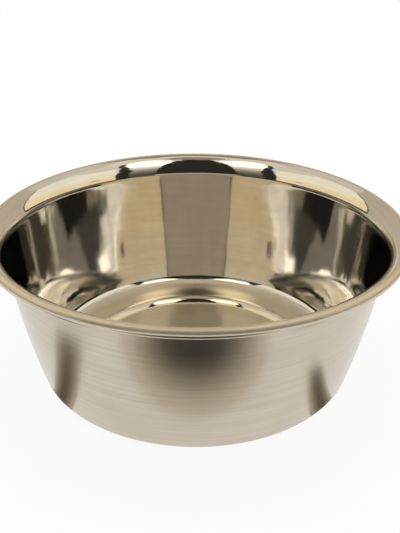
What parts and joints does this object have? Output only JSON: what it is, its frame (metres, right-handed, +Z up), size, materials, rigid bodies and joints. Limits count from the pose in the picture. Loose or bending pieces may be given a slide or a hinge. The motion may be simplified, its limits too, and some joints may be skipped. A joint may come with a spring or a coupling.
{
  "type": "stainless steel pet bowl",
  "caption": "Round drawn stainless steel bowl with steep, slightly bulging walls, a flared rim curled into a hollow bead, and a flat foot disc pressed down out of a dished floor.",
  "frame": {"origin": "centre of the foot, on the surface that the bowl stands on", "axes": "+Z up along the bowl's axis of revolution; X and Y are alike"},
  "size_m": [0.286, 0.286, 0.114],
  "materials": {
    "stainless_sheet": "stainless steel sheet, mirror polished inside and on the rim, fine satin polish outside"
  },
  "bodies": {
    "root": {"bowl": "stainless_sheet"}
  },
  "joints": []
}
